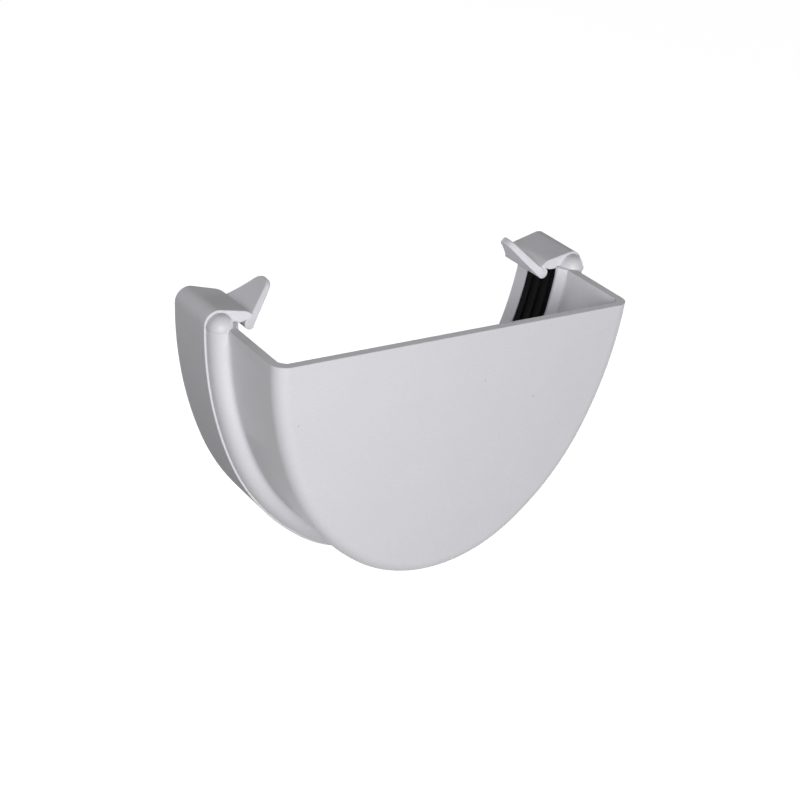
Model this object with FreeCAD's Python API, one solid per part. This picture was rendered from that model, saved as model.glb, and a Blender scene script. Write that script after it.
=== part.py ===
import FreeCAD, Part
import math
import os

V = FreeCAD.Vector

# Frame: the origin is the middle of the socket's mouth, level with the top edge of the end plate.
# X runs across the gutter, Y along it (the gutter leaves towards +Y), Z up. Millimetres.

# Driving sizes of the moulding
half_width = 63.3        # widest half width of the skirt's outline
plate_depth = 81.8       # from the plate's top edge down to its lowest point
centre_height = 5.6      # the outline is widest this far above the top edge
side_share = 0.923       # how far the outline's five touching arcs leave a plain circle
bottom_share = 0.8816
shoulder_share = 0.0175
length = 51.2            # plate face to mouth
band_length = 18.8       # wide band with the two clips
wall = 2.7               # skirt wall
plate_wall = 2.6         # end plate
corner_radius = 4.5      # soft edge between plate and skirt

# Shoulder bead between skirt and band
bead_out = 4.87
bead_reach = 4.87        # how far it stands out in front of the band
bead_radius = 4.4
bead_foot = 1.1          # length of the slanted foot between bead and skirt
dome_step = 0.1          # the dome over the bead's end stands this much proud
dome_radius = 4.0
dome_lift = 0.25         # its middle lies this far above the caps' undersides
band_ledge = 0.45        # the band and cap stand out this far around the dome

# Band, lip and seal groove, as steps from the skirt's outer outline
band_out = 5.48
band_skin = 2.87
lip_in = 5.3
flank_in = 4.87
lip_length = 6.4
flank_length = 0.4
slope_length = 2.55
slope_land = 0.9
mouth_lead = 1.1         # lead-in at the mouth
mouth_chamfer = 0.4      # outer edge at the mouth

# Seal
seal_in = 5.63
seal_clearance = 0.3
seal_rib_count = 3
seal_rib_height = 0.35
seal_rib_width = 1.9

# Snap clips
roof_height = -0.7       # underside of the cap, where the gutter's rim stops
cap_side = 0.75          # upright part of the cap's outer side
cap_round = 4.27         # outer shoulder of the cap
cap_slope_front = 11.0   # degrees the cap falls towards the inside, at the bead
cap_slope_mouth = 15.0   # and at the mouth
nose_run = 3.07          # from the valley beside the ear out to where the cap's nose begins
nose_bulge_front = 0.35  # the nose's round stands this far above a straight line
nose_bulge_mouth = 0.2
valley_run = 2.36        # how far up the ear the valley lies
recess_width = 2.46      # rim space between wall and hook
hook_radius = 1.8
hook_drop = 1.02         # height of the hook's round middle below the cap's underside
hook_slant = 0.9         # the hook's face leans this far from the cap's underside down to its round
ear_angle = 46.4         # degrees above level
ear_length = 13.45
ear_root = 2.8           # thickness at the hook
ear_tip = 2.05
ear_tip_round = 3.8     # round seen on the ear's face
ear_tip_place = 9.8      # middle of that round, from the mouth
ear_edge_round = 0.45
ear_back_sag = 0.5       # hollow of the ear's edge towards the mouth

margin = 1.0             # how far trimming shapes reach past what they trim
closeness = 1e-4         # places nearer than this count as the same
outline_half_height = plate_depth + centre_height
stretch = outline_half_height / half_width
# radii of the side and bottom arcs of an outline with a half width of 1
side_arc = 1 + side_share * (stretch * stretch - 1)
bottom_arc = 1 - bottom_share * (1 - 1 / stretch)
big = 4.0 * half_width


def polar(centre, radius, angle):
    """Point at this radius and angle around a centre, in the XZ plane."""
    return V(centre.x + radius * math.cos(angle), centre.y, centre.z + radius * math.sin(angle))


def outline_arcs(radius):
    """Right half of the outline around its widest height: start, middle and end of each arc."""
    side = side_arc * radius
    bottom = bottom_arc * radius
    shoulder = math.sqrt(side * bottom) + shoulder_share * (side - bottom)
    height = stretch * radius
    side_centre = V(radius - side, 0, 0)
    bottom_centre = V(0, 0, bottom - height)
    # the shoulder arc touches both neighbours from inside
    link = bottom_centre.sub(side_centre)
    reach = side - shoulder
    rest = shoulder - bottom
    along = (link.Length ** 2 + reach ** 2 - rest ** 2) / (2 * link.Length)
    off = math.sqrt(reach ** 2 - along ** 2)
    turn = math.atan2(link.z, link.x)
    shoulder_centre = polar(side_centre, along, turn)
    shoulder_centre = polar(shoulder_centre, off, turn + 0.5 * math.pi)
    first = math.atan2(shoulder_centre.z - side_centre.z, shoulder_centre.x - side_centre.x)
    second = math.atan2(bottom_centre.z - shoulder_centre.z, bottom_centre.x - shoulder_centre.x)
    spans = [
        (side_centre, side, 0.0, first),
        (shoulder_centre, shoulder, first, second),
        (bottom_centre, bottom, second, -0.5 * math.pi),
    ]
    arcs = []
    for centre, size, begin, end in spans:
        points = [polar(centre, size, angle) for angle in (begin, 0.5 * (begin + end), end)]
        arcs.append(points)
    return arcs


def outline_wire(radius, y):
    """Closed U outline at a station, with a straight line across its widest height."""
    arcs = outline_arcs(radius)
    lift = V(0, y, centre_height)
    right = [[point.add(lift) for point in arc] for arc in arcs]
    left = [[V(-point.x, point.y, point.z) for point in reversed(arc)] for arc in reversed(right)]
    edges = [Part.Arc(*arc).toShape() for arc in right + left]
    edges.append(Part.makeLine(left[-1][-1], right[0][0]))
    return Part.Wire(edges)


def outline_block(radius, y_start, y_end):
    """Solid block with the gutter's outline between two stations."""
    return Part.Face(outline_wire(radius, y_start)).extrude(V(0, y_end - y_start, 0))


def outline_taper(radius_start, y_start, radius_end, y_end):
    """Like outline_block, but the outline grows or shrinks evenly between the stations."""
    wires = [outline_wire(radius_start, y_start), outline_wire(radius_end, y_end)]
    return Part.makeLoft(wires, True, True)


def across(radius, height):
    """Half width at a height near the top of the outline with this widest half width."""
    side = side_arc * radius
    rise = height - centre_height
    return radius - side + math.sqrt(side * side - rise * rise)


def slab(y_start, y_end, z_low, z_high):
    """Plain box across the whole width, used for trimming."""
    box = Part.makeBox(2 * big, y_end - y_start, z_high - z_low)
    box.translate(V(-big, y_start, z_low))
    return box


def rim_edges(shape, y):
    """Curved outline edges that lie in the plane of a station."""
    chosen = []
    for edge in shape.Edges:
        flat = max(abs(edge.BoundBox.YMin - y), abs(edge.BoundBox.YMax - y)) < closeness
        if flat and edge.BoundBox.ZMin < centre_height - closeness:
            chosen.append(edge)
    return chosen


def skirt():
    """Plate and skirt, filled inside, with the soft edge between them."""
    block = outline_block(half_width, -length, -band_length)
    return block.makeFillet(corner_radius, rim_edges(block, -length))


def bead():
    """Shoulder bead in front of the wide band, filled inside."""
    front = -band_length - bead_reach
    block = outline_block(half_width + bead_out, front, -band_length)
    rounded = block.makeFillet(bead_radius, rim_edges(block, front))
    foot = outline_taper(half_width, front - bead_foot, half_width + bead_out - bead_radius, front)
    return rounded.fuse(foot)


def ring():
    """The U-shaped shell up to the top edge, with the band and bead cut off under the clips."""
    widest = half_width + band_out
    band = outline_block(widest, -band_length, -mouth_chamfer)
    edge = outline_taper(widest, -mouth_chamfer, widest - mouth_chamfer, 0.0)
    filled = skirt().multiFuse([bead(), band, edge])
    lower = filled.common(slab(-length - margin, 0.0, -big, roof_height))
    upper = skirt().common(slab(-length - margin, -band_length, roof_height, 0.0))
    return lower.fuse(upper).cut(cavity())


def cavity():
    """Everything hollow inside the ring: skirt, bead slope, seal groove, lip and lead-in."""
    a = half_width
    y_inner = -length + plate_wall
    y_flank = -band_length - flank_length
    slope_start = y_flank - slope_length - slope_land
    slope_end = y_flank - slope_land
    room = outline_block(a - wall, y_inner, slope_start)
    room = room.makeChamfer(corner_radius - wall, rim_edges(room, y_inner))
    parts = [
        outline_taper(a - wall, slope_start, a - flank_in, slope_end),
        outline_block(a - flank_in, slope_end, y_flank),
        outline_block(a + band_out - band_skin, y_flank, -lip_length),
        outline_block(a - lip_in, -lip_length, -mouth_lead),
        outline_taper(a - lip_in, -mouth_lead, a - lip_in + mouth_lead, 0.0),
        outline_block(a - lip_in + mouth_lead, 0.0, margin),
    ]
    return room.multiFuse(parts)


def clip_outline(cap_slope, nose_bulge, inset, y):
    """Closed section of one snap clip's cap and hook at a station, on the right side."""
    outer = across(half_width + band_out - inset, roof_height)
    shoulder = cap_round - inset
    middle = V(outer - shoulder, 0, roof_height + cap_side)
    slope = math.radians(cap_slope)
    up = math.radians(90.0) + slope
    top = middle.add(V(shoulder * math.cos(up), 0, shoulder * math.sin(up)))
    quarter = 0.5 * up
    top_mid = middle.add(V(shoulder * math.cos(quarter), 0, shoulder * math.sin(quarter)))
    inner = across(half_width - lip_in, roof_height)
    hook_face = inner - recess_width
    hook = V(hook_face - hook_radius, 0, roof_height - hook_drop)
    ear = math.radians(ear_angle)
    down = V(-math.sin(ear), 0, -math.cos(ear))
    lift = V(math.sin(ear), 0, math.cos(ear))
    root_low = hook.add(V(down.x * hook_radius, 0, down.z * hook_radius))
    root_high = root_low.add(V(lift.x * ear_root, 0, lift.z * ear_root))
    valley = V(root_high.x - valley_run * math.cos(ear), 0, root_high.z + valley_run * math.sin(ear))
    # the cap's top line ends in a nose that rounds down to the valley beside the ear
    nose_x = valley.x + nose_run
    nose = V(nose_x, 0, top.z - (top.x - nose_x) * math.tan(slope))
    chord = valley.sub(nose)
    outward = V(chord.z, 0, -chord.x).normalize()
    bend = nose.add(valley).multiply(0.5).add(outward.multiply(nose_bulge))
    roof_in = V(hook_face + hook_slant, 0, roof_height)
    touch = flat_tangent(V(roof_in.x, roof_in.z, 0), V(hook.x, hook.z, 0), hook_radius, 1.0)
    face_low = V(touch.x, 0, touch.y)
    half = 0.5 * (math.atan2(touch.y - hook.z, touch.x - hook.x) - math.radians(90) - ear)
    hook_mid = hook.add(V(hook_radius * math.cos(half), 0, hook_radius * math.sin(half)))
    edges = [
        Part.makeLine(V(outer, 0, roof_height), V(outer, 0, middle.z)),
        Part.Arc(V(outer, 0, middle.z), top_mid, top).toShape(),
        Part.makeLine(top, nose),
        Part.Arc(nose, bend, valley).toShape(),
        Part.makeLine(valley, root_high),
        Part.makeLine(root_high, root_low),
        Part.Arc(root_low, hook_mid, face_low).toShape(),
        Part.makeLine(face_low, roof_in),
        Part.makeLine(roof_in, V(outer, 0, roof_height)),
    ]
    wire = Part.Wire(edges)
    wire.translate(V(0, y, 0))
    return wire, root_low


def ear_solid(root_low):
    """Thin finger tab rising inwards from the hook, slanted at its front and back edges."""
    tilt = math.radians(ear_angle)
    along = V(-math.cos(tilt), 0, math.sin(tilt))
    lift = V(math.sin(tilt), 0, math.cos(tilt))

    def point(run, rise):
        return root_low.add(V(along.x * run, 0, along.z * run)).add(V(lift.x * rise, 0, lift.z * rise))

    section = Part.makePolygon([
        point(0, 0),
        point(ear_length, 0),
        point(ear_length, ear_tip),
        point(0, ear_root),
        point(0, 0),
    ])
    tab = Part.Face(section).extrude(V(0, -band_length, 0))
    # face outline of the ear: run up the ear against distance from the mouth
    centre_run = ear_length - ear_tip_round
    front = V(0.0, -band_length, 0)
    back = V(0.0, 0.0, 0)
    centre = V(centre_run, -ear_tip_place, 0)
    front_touch = flat_tangent(front, centre, ear_tip_round, 1.0)
    back_touch = flat_tangent(back, centre, ear_tip_round, -1.0)
    tip = V(ear_length, -ear_tip_place, 0)
    hollow = back.add(back_touch).multiply(0.5).add(V(0, -ear_back_sag, 0))

    def lower(flat):
        place = point(flat.x, -margin)
        return V(place.x, flat.y, place.z)

    edges = [
        Part.makeLine(lower(back), lower(front)),
        Part.makeLine(lower(front), lower(front_touch)),
        Part.Arc(lower(front_touch), lower(tip), lower(back_touch)).toShape(),
        Part.Arc(lower(back_touch), lower(hollow), lower(back)).toShape(),
    ]
    rise = ear_root + 2 * margin
    cutter = Part.Face(Part.Wire(edges)).extrude(V(lift.x * rise, 0, lift.z * rise))
    ear = tab.common(cutter)
    free = [edge for edge in ear.Edges if edge.BoundBox.ZMax > root_low.z + ear_root + ear_edge_round]
    return ear.makeFillet(ear_edge_round, free)


def flat_tangent(start, centre, radius, side):
    """Where a straight edge from start touches the round at centre, on the given side."""
    gap = centre.sub(start)
    span = gap.Length
    lean = math.acos(radius / span)
    base = math.atan2(-gap.y, -gap.x)
    angle = base + side * lean
    return centre.add(V(radius * math.cos(angle), radius * math.sin(angle), 0))


def dome():
    """Rounded end of the shoulder bead: a ball and a short cylinder above the band's top."""
    ball_place = dome_radius - bead_reach - dome_step
    ball = Part.makeSphere(dome_radius, V(0, ball_place, 0), V(0, 1, 0))
    neck = Part.makeCylinder(dome_radius, -ball_place, V(0, ball_place, 0), V(0, 1, 0))
    rounded = ball.fuse(neck).common(slab(-length, 0.0, -big, big))
    outer = across(half_width + band_out, roof_height)
    rounded.translate(V(outer - band_ledge - dome_radius, -band_length, roof_height + dome_lift))
    return rounded.common(slab(-length, 0.0, roof_height, big))


def mirrored(shape):
    """The same piece on the other side of the gutter."""
    return shape.mirror(V(0, 0, 0), V(1, 0, 0))


def clip():
    """One snap clip: cap and hook, with the ear tab growing out of the hook."""
    front, root_low = clip_outline(cap_slope_front, nose_bulge_front, 0.0, -band_length)
    edge, root_low = clip_outline(cap_slope_mouth, nose_bulge_mouth, 0.0, -mouth_chamfer)
    mouth, root_low = clip_outline(cap_slope_mouth, nose_bulge_mouth, mouth_chamfer, 0.0)
    return Part.makeLoft([front, edge, mouth], True, True).fuse(ear_solid(root_low))


def body():
    """The whole one-piece moulding."""
    right_clip = clip()
    right_dome = dome()
    pieces = [right_clip, right_dome, mirrored(right_clip), mirrored(right_dome)]
    return ring().multiFuse(pieces).removeSplitter()


def seal():
    """Rubber strip in the groove, with low ribs along the face that meets the gutter."""
    a = half_width
    y_start = -band_length - flank_length + seal_clearance
    y_end = -lip_length - seal_clearance
    outer = a + band_out - band_skin - seal_clearance
    strip = outline_block(outer, y_start, y_end)
    inner = outline_block(a - seal_in + seal_rib_height, y_start - margin, y_end + margin)
    strip = strip.cut(inner)
    pitch = (y_end - y_start) / seal_rib_count
    ribs = []
    for number in range(seal_rib_count):
        middle = y_start + (number + 0.5) * pitch
        low = middle - 0.5 * seal_rib_width
        high = middle + 0.5 * seal_rib_width
        rib = outline_block(a - seal_in + 2 * seal_rib_height, low, high)
        rib = rib.cut(outline_block(a - seal_in, low - margin, high + margin))
        ribs.append(rib)
    strip = strip.multiFuse(ribs)
    keep = slab(-length, 0.0, -big, roof_height - seal_clearance)
    return strip.common(keep)


os.makedirs("parts", exist_ok=True)
body().exportStep("parts/stop_end_body.step")
seal().exportStep("parts/rubber_seal.step")
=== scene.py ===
import math

import bpy
from mathutils import Matrix, Vector


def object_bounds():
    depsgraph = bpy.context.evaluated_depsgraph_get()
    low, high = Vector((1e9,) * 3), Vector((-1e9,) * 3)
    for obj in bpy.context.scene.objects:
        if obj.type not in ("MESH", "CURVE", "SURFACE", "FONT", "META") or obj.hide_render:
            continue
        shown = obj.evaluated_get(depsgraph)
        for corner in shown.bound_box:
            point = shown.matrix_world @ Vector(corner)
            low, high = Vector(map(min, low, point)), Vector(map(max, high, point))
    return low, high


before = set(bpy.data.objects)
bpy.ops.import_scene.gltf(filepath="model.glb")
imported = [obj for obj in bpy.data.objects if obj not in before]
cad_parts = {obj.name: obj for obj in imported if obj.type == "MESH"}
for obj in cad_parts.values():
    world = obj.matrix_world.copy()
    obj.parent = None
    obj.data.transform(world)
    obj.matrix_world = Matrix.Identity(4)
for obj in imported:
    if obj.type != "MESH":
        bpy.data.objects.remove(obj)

first_low, first_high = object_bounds()

MM = 0.001
RISE = (0.0, 1.0)
FALL = (1.0, 0.0)

# Places on the part: the origin is the middle of the mouth, level with the plate's top edge
PLATE_FACE = first_low.y
PLATE_SPECKS = ((9.7 * MM, -16.8 * MM), (29.2 * MM, -25.6 * MM), (-54.8 * MM, -19.0 * MM))
# along Y, where the wide rounding of the bead's foot sets in on the skirt and where it ends
FOOT_ON_SKIRT = (-31.0 * MM, -27.5 * MM)
FOOT_ON_BEAD = (-23.5 * MM, -21.5 * MM)
# along Z, where it ends below the domes
FOOT_BELOW_DOME = (-6.0 * MM, -2.0 * MM)
# along Y, where the band begins
BAND_SHOULDER = (-19.2 * MM, -18.6 * MM)

# Shading of the edges: degrees above which an edge stays sharp, and how wide the others look
SHARP_ANGLE = 24.0
POINTS_TOGETHER = 0.002 * MM
EDGE_ROUND = 0.5 * MM
FOOT_ROUND = 1.9 * MM
ROUND_SAMPLES = 8

# Colours in linear light
WHITE_SHADE = (0.80, 0.80, 0.84, 1)
WHITE_LIGHT = (0.82, 0.82, 0.855, 1)
GRAIN_TONE = (0.75, 0.75, 0.79, 1)
SPECK_TONE = (0.34, 0.34, 0.36, 1)
RUBBER_DARK = (0.004, 0.004, 0.0043, 1)
RUBBER_BLOOM = (0.008, 0.008, 0.0085, 1)
FLOOR_DARK = (0.22, 0.22, 0.22, 1)
FLOOR_LIGHT = (0.25, 0.25, 0.25, 1)

# Specks: how far out they reach, and how much of their colour shows within and beyond that
SCATTERED_SIZE = (0.016, 0.034)
SCATTERED_SHOW = (0.6, 0.0)
SCATTERED_CHANCE = (0.53, 0.6)
PLATE_SPECK_SIZE = (0.15 * MM, 0.55 * MM)
PLATE_SPECK_SHOW = (0.3, 0.0)

# Finish: the values of a noise lie mostly in NOISE_SPAN, and other values are spread over it
NOISE_SPAN = (0.3, 0.7)
GRAIN_SHOW = (0.0, 0.5)
PEEL_SHARE = 0.7
GRAIN_SHARE = 0.3
SATIN_ROUGHNESS = (0.33, 0.37)
BAND_ROUGHER = 0.4
PLASTIC_IOR = 1.5
PLASTIC_SHINE = 0.28
BLOOM_SPAN = (0.35, 0.75)
RUBBER_ROUGHNESS = (0.7, 0.85)
RUBBER_SHINE = 0.04

# Studio: FLOOR_SEEN and WORLD_SEEN count only for rays that see, WORLD_LIGHT for all rays
FLOOR_SEEN = 0.97
WORLD_SEEN = 0.92
WORLD_LIGHT = 0.08
FLOOR_REACH = 4.0
FLOOR_DROP = 0.16
# each lamp: the direction it shines from, its distance from the part, its side and its power
LAMPS = {
    "key": ((-0.37, -0.89, 0.28), 0.7, 0.33, 3.7),
    "back": ((-0.14, 0.98, 0.12), 0.75, 0.3, 3.4),
    "right": ((0.98, 0.20, 0.04), 1.1, 0.4, 2.8),
}

# Camera at the photograph's angle: round the part, above the horizon, and turned about its own line
AZIMUTH = math.radians(36.09)
ELEVATION = math.radians(26.79)
ROLL = math.radians(6.38)
CAMERA_DISTANCE = 0.54935
AIM = Vector((0.0, -0.029788, -0.037471))
SHIFT_RIGHT = -0.003736
SHIFT_UP = 0.005085
LENS = 79.843
SENSOR_WIDTH = 36.0
NEAREST_SEEN = 0.02


def set_socket(tree, socket, value):
    """Gives an input socket a constant, or links another node's output to it."""
    if isinstance(value, bpy.types.NodeSocket):
        tree.links.new(value, socket)
    else:
        socket.default_value = value


def node(tree, kind, **sockets):
    """A shader node with its input sockets set; an underscore in a name stands for a space."""
    made = tree.nodes.new(kind)
    for name, value in sockets.items():
        set_socket(tree, made.inputs[name.replace("_", " ")], value)
    return made


def math_node(tree, operation, first, second, clamp=False):
    """The result of one sum on two values."""
    made = tree.nodes.new("ShaderNodeMath")
    made.operation = operation
    made.use_clamp = clamp
    set_socket(tree, made.inputs[0], first)
    set_socket(tree, made.inputs[1], second)
    return made.outputs[0]


def mix_colour(tree, share, first, second):
    """The first colour where share is 0, the second where it is 1."""
    made = tree.nodes.new("ShaderNodeMix")
    made.data_type = "RGBA"
    for place, value in ((0, share), (6, first), (7, second)):
        set_socket(tree, made.inputs[place], value)
    return made.outputs[2]


def remap(tree, value, span, to_span):
    """Carries a value softly from one span to another and holds it at the ends."""
    made = tree.nodes.new("ShaderNodeMapRange")
    made.interpolation_type = "SMOOTHSTEP"
    ends = {"From Min": span[0], "From Max": span[1], "To Min": to_span[0], "To Max": to_span[1]}
    set_socket(tree, made.inputs["Value"], value)
    for name, end in ends.items():
        made.inputs[name].default_value = end
    return made.outputs["Result"]


def noise(tree, where, scale, detail, roughness):
    """A noise over the object, about 0.5 on average."""
    made = node(tree, "ShaderNodeTexNoise", Vector=where, Scale=scale, Detail=detail, Roughness=roughness)
    return made.outputs["Fac"]


def object_place(tree):
    """The place on the object, in metres."""
    return tree.nodes.new("ShaderNodeTexCoord").outputs["Object"]


def new_material(name):
    """A material and its empty node tree."""
    made = bpy.data.materials.new(name)
    made.use_nodes = True
    made.node_tree.nodes.clear()
    return made, made.node_tree


def output(tree, shader):
    """Makes a shader the surface of its material."""
    node(tree, "ShaderNodeOutputMaterial", Surface=shader)


def dirt_specks(tree, where):
    """A few scattered specks, and the three faint ones that the photograph shows on the plate."""
    cells = node(tree, "ShaderNodeTexVoronoi", Vector=where, Scale=62.0).outputs["Distance"]
    chance = noise(tree, where, scale=21.0, detail=1.0, roughness=0.5)
    dot = remap(tree, cells, SCATTERED_SIZE, SCATTERED_SHOW)
    rare = remap(tree, chance, SCATTERED_CHANCE, RISE)
    dirt = math_node(tree, "MULTIPLY", dot, rare)
    for across, up in PLATE_SPECKS:
        gap = tree.nodes.new("ShaderNodeVectorMath")
        gap.operation = "DISTANCE"
        tree.links.new(where, gap.inputs[0])
        gap.inputs[1].default_value = (across, PLATE_FACE, up)
        spot = remap(tree, gap.outputs["Value"], PLATE_SPECK_SIZE, PLATE_SPECK_SHOW)
        dirt = math_node(tree, "MAXIMUM", dirt, spot)
    return dirt


def soft_edges(tree, along, up):
    """A normal that rounds the edges, most of all where the bead runs out into the skirt."""
    behind = remap(tree, along, FOOT_ON_SKIRT, RISE)
    before = remap(tree, along, FOOT_ON_BEAD, FALL)
    below = remap(tree, up, FOOT_BELOW_DOME, (FOOT_ROUND, 0.0))
    wide = math_node(tree, "MULTIPLY", math_node(tree, "MULTIPLY", behind, before), below)
    bevel = node(tree, "ShaderNodeBevel", Radius=math_node(tree, "ADD", wide, EDGE_ROUND))
    bevel.samples = ROUND_SAMPLES
    return bevel.outputs[0]


def moulded_plastic():
    """White uPVC: faint flow clouds and mould grain, satin but nearly matt on band and clips."""
    made, tree = new_material("white_upvc")
    where = object_place(tree)
    place = node(tree, "ShaderNodeSeparateXYZ", Vector=where)
    clouds = noise(tree, where, scale=60.0, detail=4.0, roughness=0.6)
    grain = noise(tree, where, scale=1500.0, detail=3.0, roughness=0.6)
    peel = noise(tree, where, scale=260.0, detail=2.0, roughness=0.5)

    tone = mix_colour(tree, remap(tree, clouds, NOISE_SPAN, RISE), WHITE_SHADE, WHITE_LIGHT)
    tone = mix_colour(tree, remap(tree, grain, NOISE_SPAN, GRAIN_SHOW), tone, GRAIN_TONE)
    tone = mix_colour(tree, dirt_specks(tree, where), tone, SPECK_TONE)

    coarse = math_node(tree, "MULTIPLY", peel, PEEL_SHARE)
    fine = math_node(tree, "MULTIPLY", grain, GRAIN_SHARE)
    bump = node(
        tree,
        "ShaderNodeBump",
        Strength=0.07,
        Distance=0.12 * MM,
        Height=math_node(tree, "ADD", coarse, fine),
        Normal=soft_edges(tree, place.outputs["Y"], place.outputs["Z"]),
    )
    satin = remap(tree, clouds, NOISE_SPAN, SATIN_ROUGHNESS)
    matt = remap(tree, place.outputs["Y"], BAND_SHOULDER, (0.0, BAND_ROUGHER))
    shader = node(
        tree,
        "ShaderNodeBsdfPrincipled",
        Base_Color=tone,
        Roughness=math_node(tree, "ADD", satin, matt),
        Normal=bump.outputs[0],
        IOR=PLASTIC_IOR,
        Specular_IOR_Level=PLASTIC_SHINE,
    )
    output(tree, shader.outputs[0])
    return made


def sealing_rubber():
    """Matt black rubber with a dusty bloom and a fine pressed grain."""
    made, tree = new_material("black_epdm")
    where = object_place(tree)
    bloom = noise(tree, where, scale=70.0, detail=4.0, roughness=0.6)
    grain = noise(tree, where, scale=1400.0, detail=2.0, roughness=0.5)
    tone = mix_colour(tree, remap(tree, bloom, BLOOM_SPAN, RISE), RUBBER_DARK, RUBBER_BLOOM)
    bump = node(tree, "ShaderNodeBump", Strength=0.25, Distance=0.1 * MM, Height=grain)
    shader = node(
        tree,
        "ShaderNodeBsdfPrincipled",
        Base_Color=tone,
        Roughness=remap(tree, bloom, NOISE_SPAN, RUBBER_ROUGHNESS),
        Normal=bump.outputs[0],
        Specular_IOR_Level=RUBBER_SHINE,
    )
    output(tree, shader.outputs[0])
    return made


def seen_directly(tree):
    """1 for camera, glossy and transmission rays, else 0."""
    rays = tree.nodes.new("ShaderNodeLightPath")
    seen = math_node(tree, "ADD", rays.outputs["Is Camera Ray"], rays.outputs["Is Glossy Ray"], clamp=True)
    return math_node(tree, "ADD", seen, rays.outputs["Is Transmission Ray"], clamp=True)


def pale_floor():
    """Pale diffuse floor that shows as white and keeps the soft shadow."""
    made, tree = new_material("pale_floor")
    mottle = noise(tree, object_place(tree), scale=6.0, detail=3.0, roughness=0.5)
    paint = node(tree, "ShaderNodeBsdfDiffuse", Color=mix_colour(tree, mottle, FLOOR_DARK, FLOOR_LIGHT))
    strength = math_node(tree, "MULTIPLY", seen_directly(tree), FLOOR_SEEN)
    glow = node(tree, "ShaderNodeEmission", Strength=strength)
    both = tree.nodes.new("ShaderNodeAddShader")
    tree.links.new(paint.outputs[0], both.inputs[0])
    tree.links.new(glow.outputs[0], both.inputs[1])
    output(tree, both.outputs[0])
    return made


def smooth_by_angle(piece, degrees):
    """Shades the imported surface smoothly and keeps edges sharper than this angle."""
    tree = bpy.data.node_groups.new("smooth_" + piece.name, "GeometryNodeTree")
    tree.interface.new_socket("Geometry", in_out="INPUT", socket_type="NodeSocketGeometry")
    tree.interface.new_socket("Geometry", in_out="OUTPUT", socket_type="NodeSocketGeometry")
    start = tree.nodes.new("NodeGroupInput")
    end = tree.nodes.new("NodeGroupOutput")
    merge = tree.nodes.new("GeometryNodeMergeByDistance")
    merge.inputs["Distance"].default_value = POINTS_TOGETHER
    angle = tree.nodes.new("GeometryNodeInputMeshEdgeAngle")
    soft = tree.nodes.new("FunctionNodeCompare")
    soft.data_type = "FLOAT"
    soft.operation = "LESS_THAN"
    tree.links.new(angle.outputs["Unsigned Angle"], soft.inputs[0])
    soft.inputs[1].default_value = math.radians(degrees)
    faces = tree.nodes.new("GeometryNodeSetShadeSmooth")
    faces.domain = "FACE"
    edges = tree.nodes.new("GeometryNodeSetShadeSmooth")
    edges.domain = "EDGE"
    tree.links.new(start.outputs[0], merge.inputs["Geometry"])
    tree.links.new(merge.outputs["Geometry"], faces.inputs["Geometry"])
    tree.links.new(faces.outputs["Geometry"], edges.inputs["Geometry"])
    tree.links.new(soft.outputs[0], edges.inputs["Shade Smooth"])
    tree.links.new(edges.outputs["Geometry"], end.inputs[0])
    piece.modifiers.new("smooth", "NODES").node_group = tree


def floor_square(level):
    """A wide square on the level, painted as the floor."""
    mesh = bpy.data.meshes.new("floor")
    sides = ((-1, -1), (1, -1), (1, 1), (-1, 1))
    corners = [(FLOOR_REACH * x, FLOOR_REACH * y, level) for x, y in sides]
    mesh.from_pydata(corners, [], [(0, 1, 2, 3)])
    mesh.materials.append(pale_floor())
    made = bpy.data.objects.new("floor", mesh)
    bpy.context.scene.collection.objects.link(made)
    return made


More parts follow.
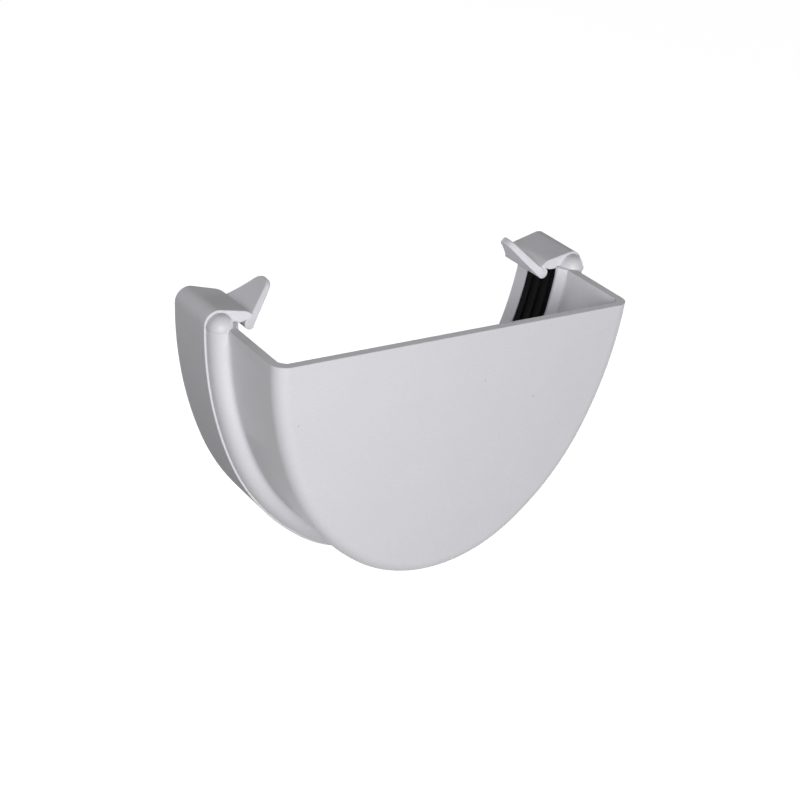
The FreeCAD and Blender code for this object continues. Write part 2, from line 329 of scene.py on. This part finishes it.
def white_surroundings():
    """A world that looks white and gives only a little light."""
    world = bpy.data.worlds.new("studio")
    world.use_nodes = True
    tree = world.node_tree
    tree.nodes.clear()
    seen = math_node(tree, "MULTIPLY", seen_directly(tree), WORLD_SEEN)
    level = math_node(tree, "ADD", seen, WORLD_LIGHT)
    back = node(tree, "ShaderNodeBackground", Color=(1, 1, 1, 1), Strength=level)
    node(tree, "ShaderNodeOutputWorld", Surface=back.outputs[0])
    return world


def area_lamp(name, target, direction, distance, size, power):
    """Square soft lamp that shines on the target from this direction."""
    lamp = bpy.data.lights.new(name, "AREA")
    lamp.size = size
    lamp.energy = power
    made = bpy.data.objects.new(name, lamp)
    towards = Vector(direction).normalized()
    made.location = target + towards * distance
    made.rotation_euler = towards.to_track_quat("Z", "Y").to_euler()
    bpy.context.scene.collection.objects.link(made)


def photo_camera():
    """The camera that took the photograph, fitted to the part's edges in it."""
    backward = Vector((
        -math.sin(AZIMUTH) * math.cos(ELEVATION),
        -math.cos(AZIMUTH) * math.cos(ELEVATION),
        math.sin(ELEVATION),
    ))
    level_right = (-backward).cross(Vector((0, 0, 1))).normalized()
    level_up = level_right.cross(-backward)
    right = math.cos(ROLL) * level_right + math.sin(ROLL) * level_up
    up = -math.sin(ROLL) * level_right + math.cos(ROLL) * level_up
    place = AIM + backward * CAMERA_DISTANCE + right * SHIFT_RIGHT + up * SHIFT_UP

    camera = bpy.data.cameras.new("photo_view")
    camera.lens = LENS
    camera.sensor_width = SENSOR_WIDTH
    camera.clip_start = NEAREST_SEEN
    made = bpy.data.objects.new("photo_view", camera)
    made.matrix_world = Matrix.Translation(place) @ Matrix((right, up, backward)).transposed().to_4x4()
    bpy.context.scene.collection.objects.link(made)
    return made


finishes = {
    "stop_end_body": (moulded_plastic(), "white_upvc"),
    "rubber_seal": (sealing_rubber(), "black_epdm"),
}
for name, (finish, slot_name) in finishes.items():
    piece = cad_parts[name]
    piece.data.materials.clear()
    piece.data.materials.append(finish)
    smooth_by_angle(piece, SHARP_ANGLE)

low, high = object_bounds()
middle = (low + high) / 2
floor = floor_square(low.z - FLOOR_DROP)
bpy.context.scene.world = white_surroundings()
for name, (direction, distance, size, power) in LAMPS.items():
    area_lamp(name, middle, direction, distance, size, power)
bpy.context.scene.camera = photo_camera()
bpy.context.scene.view_settings.view_transform = "Standard"
